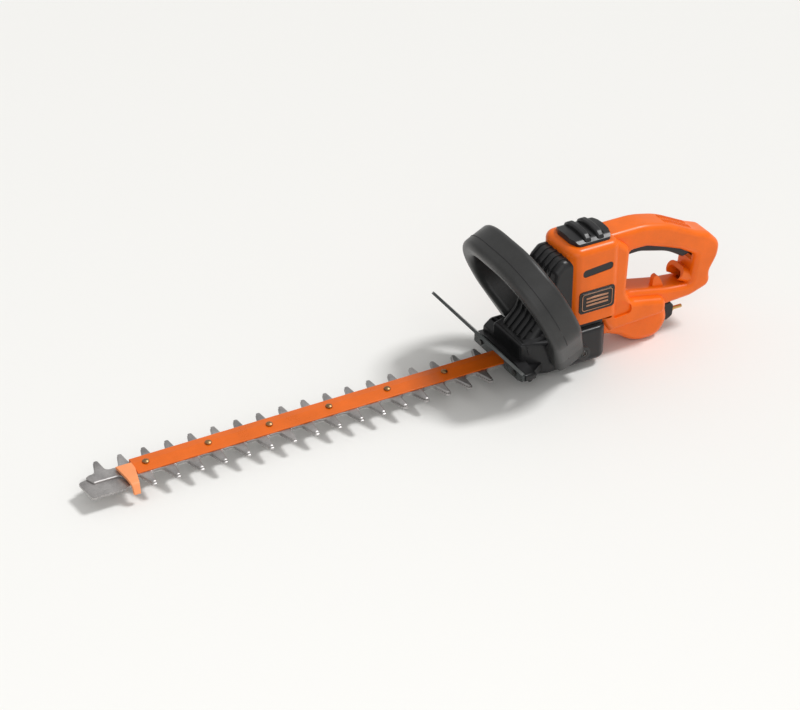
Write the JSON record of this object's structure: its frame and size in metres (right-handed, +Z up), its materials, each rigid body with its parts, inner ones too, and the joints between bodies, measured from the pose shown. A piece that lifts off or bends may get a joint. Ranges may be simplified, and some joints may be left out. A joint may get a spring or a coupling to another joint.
{
  "type": "hedge trimmer",
  "caption": "Corded hedge trimmer with a double-acting toothed blade, support bar with saw tip, hand guard, bail front handle and D-shaped rear handle with trigger.",
  "frame": {"origin": "on the resting plane, under the middle of the machine's box", "axes": "+X back along the blade to the rear handle, the saw tip towards -X; +Z up, square to the blades; -Y is the side of the saw plate"},
  "size_m": [0.7292, 0.164, 0.1595],
  "materials": {
    "orange_plastic": "satin moulded plastic",
    "black_plastic": "satin moulded plastic",
    "grip_black": "fine spark-eroded texture",
    "blade_steel": "ground and laser cut",
    "bar_paint": "satin enamel",
    "peach_plastic": "satin moulded plastic",
    "guard_plastic": "smoky moulded plastic",
    "zinc_steel": "zinc plated",
    "bearing_steel": "polished",
    "lamination": "laminated",
    "copper": "enamelled copper",
    "brass": "satin",
    "carbon": "pressed carbon",
    "gear_steel": "sintered",
    "white_nylon": "moulded nylon",
    "felt": "felt",
    "badge_black": "gloss",
    "wire_blue": "insulation"
  },
  "bodies": {
    "root": {"support_bar": "bar_paint", "bar_bolts": "zinc_steel", "bar_bushes": "bearing_steel", "bar_washers": "zinc_steel", "bar_nuts": "zinc_steel", "tip_guard": "peach_plastic", "gear_case": "black_plastic", "case_cover": "black_plastic", "case_screws": "zinc_steel", "hand_guard": "guard_plastic", "guard_screws": "zinc_steel", "blade_seal": "felt", "gear_axle": "bearing_steel", "lower_bearing": "bearing_steel", "upper_bearing": "bearing_steel", "stator_core": "lamination", "field_coils": "copper", "motor_bracket": "white_nylon", "brush_holders": "brass", "carbon_brushes": "carbon", "brush_springs": "bearing_steel", "housing_near": "orange_plastic", "housing_far": "orange_plastic", "shell_screws": "zinc_steel", "vent_cover": "black_plastic", "side_grilles": "black_plastic", "badge_near": "badge_black", "badge_far": "badge_black", "trigger_pin": "bearing_steel", "trigger_spring": "bearing_steel", "rear_switch": "grip_black", "capacitor": "badge_black", "inlet_block": "black_plastic", "inlet_pins": "brass", "leads": "wire_blue", "front_handle_shell": "grip_black", "rear_handle_shell": "grip_black", "handle_screws": "zinc_steel", "lever_springs": "bearing_steel", "front_switch": "grip_black"},
    "upper_blade": {"upper_blade": "blade_steel"},
    "lower_blade": {"lower_blade": "blade_steel"},
    "drive_gear": {"drive_gear": "gear_steel", "upper_eccentric": "gear_steel", "lower_eccentric": "gear_steel"},
    "armature": {"motor_shaft": "bearing_steel", "pinion": "gear_steel", "armature_core": "lamination", "armature_winding": "copper", "commutator": "copper", "cooling_fan": "white_nylon"},
    "rear_trigger": {"rear_trigger": "black_plastic"},
    "front_lever": {"front_lever": "black_plastic"}
  },
  "joints": [
    {"name": "upper_blade_slide", "type": "slide", "parent": "root", "child": "upper_blade", "axis": [1, 0, 0], "range_m": [-0.00625, 0.00625]},
    {"name": "lower_blade_slide", "type": "slide", "parent": "root", "child": "lower_blade", "axis": [1, 0, 0], "range_m": [-0.00625, 0.00625]},
    {"name": "armature_spin", "type": "hinge", "parent": "root", "child": "armature", "pos_m": [0.198, 0, 0.0775], "axis": [0, 0, 1], "continuous": true},
    {"name": "drive_gear_spin", "type": "hinge", "parent": "root", "child": "drive_gear", "pos_m": [0.168, 0, 0.0315], "axis": [0, 0, 1], "continuous": true},
    {"name": "rear_trigger_press", "type": "hinge", "parent": "root", "child": "rear_trigger", "pos_m": [0.331, 0, 0.0945], "axis": [0, 1, 0], "range_deg": [0, 4], "stiffness_Nm_per_rad": 2, "springref_deg": -5.73},
    {"name": "front_lever_press", "type": "slide", "parent": "root", "child": "front_lever", "axis": [-0.4462, 0, 0.8949], "range_m": [0, 0.003], "stiffness_N_per_m": 1500, "springref_m": -0.003}
  ],
  "couplings": [
    {"joint": "lower_blade_slide", "follows": "upper_blade_slide", "ratio": -1},
    {"joint": "drive_gear_spin", "follows": "armature_spin", "ratio": -0.2}
  ]
}
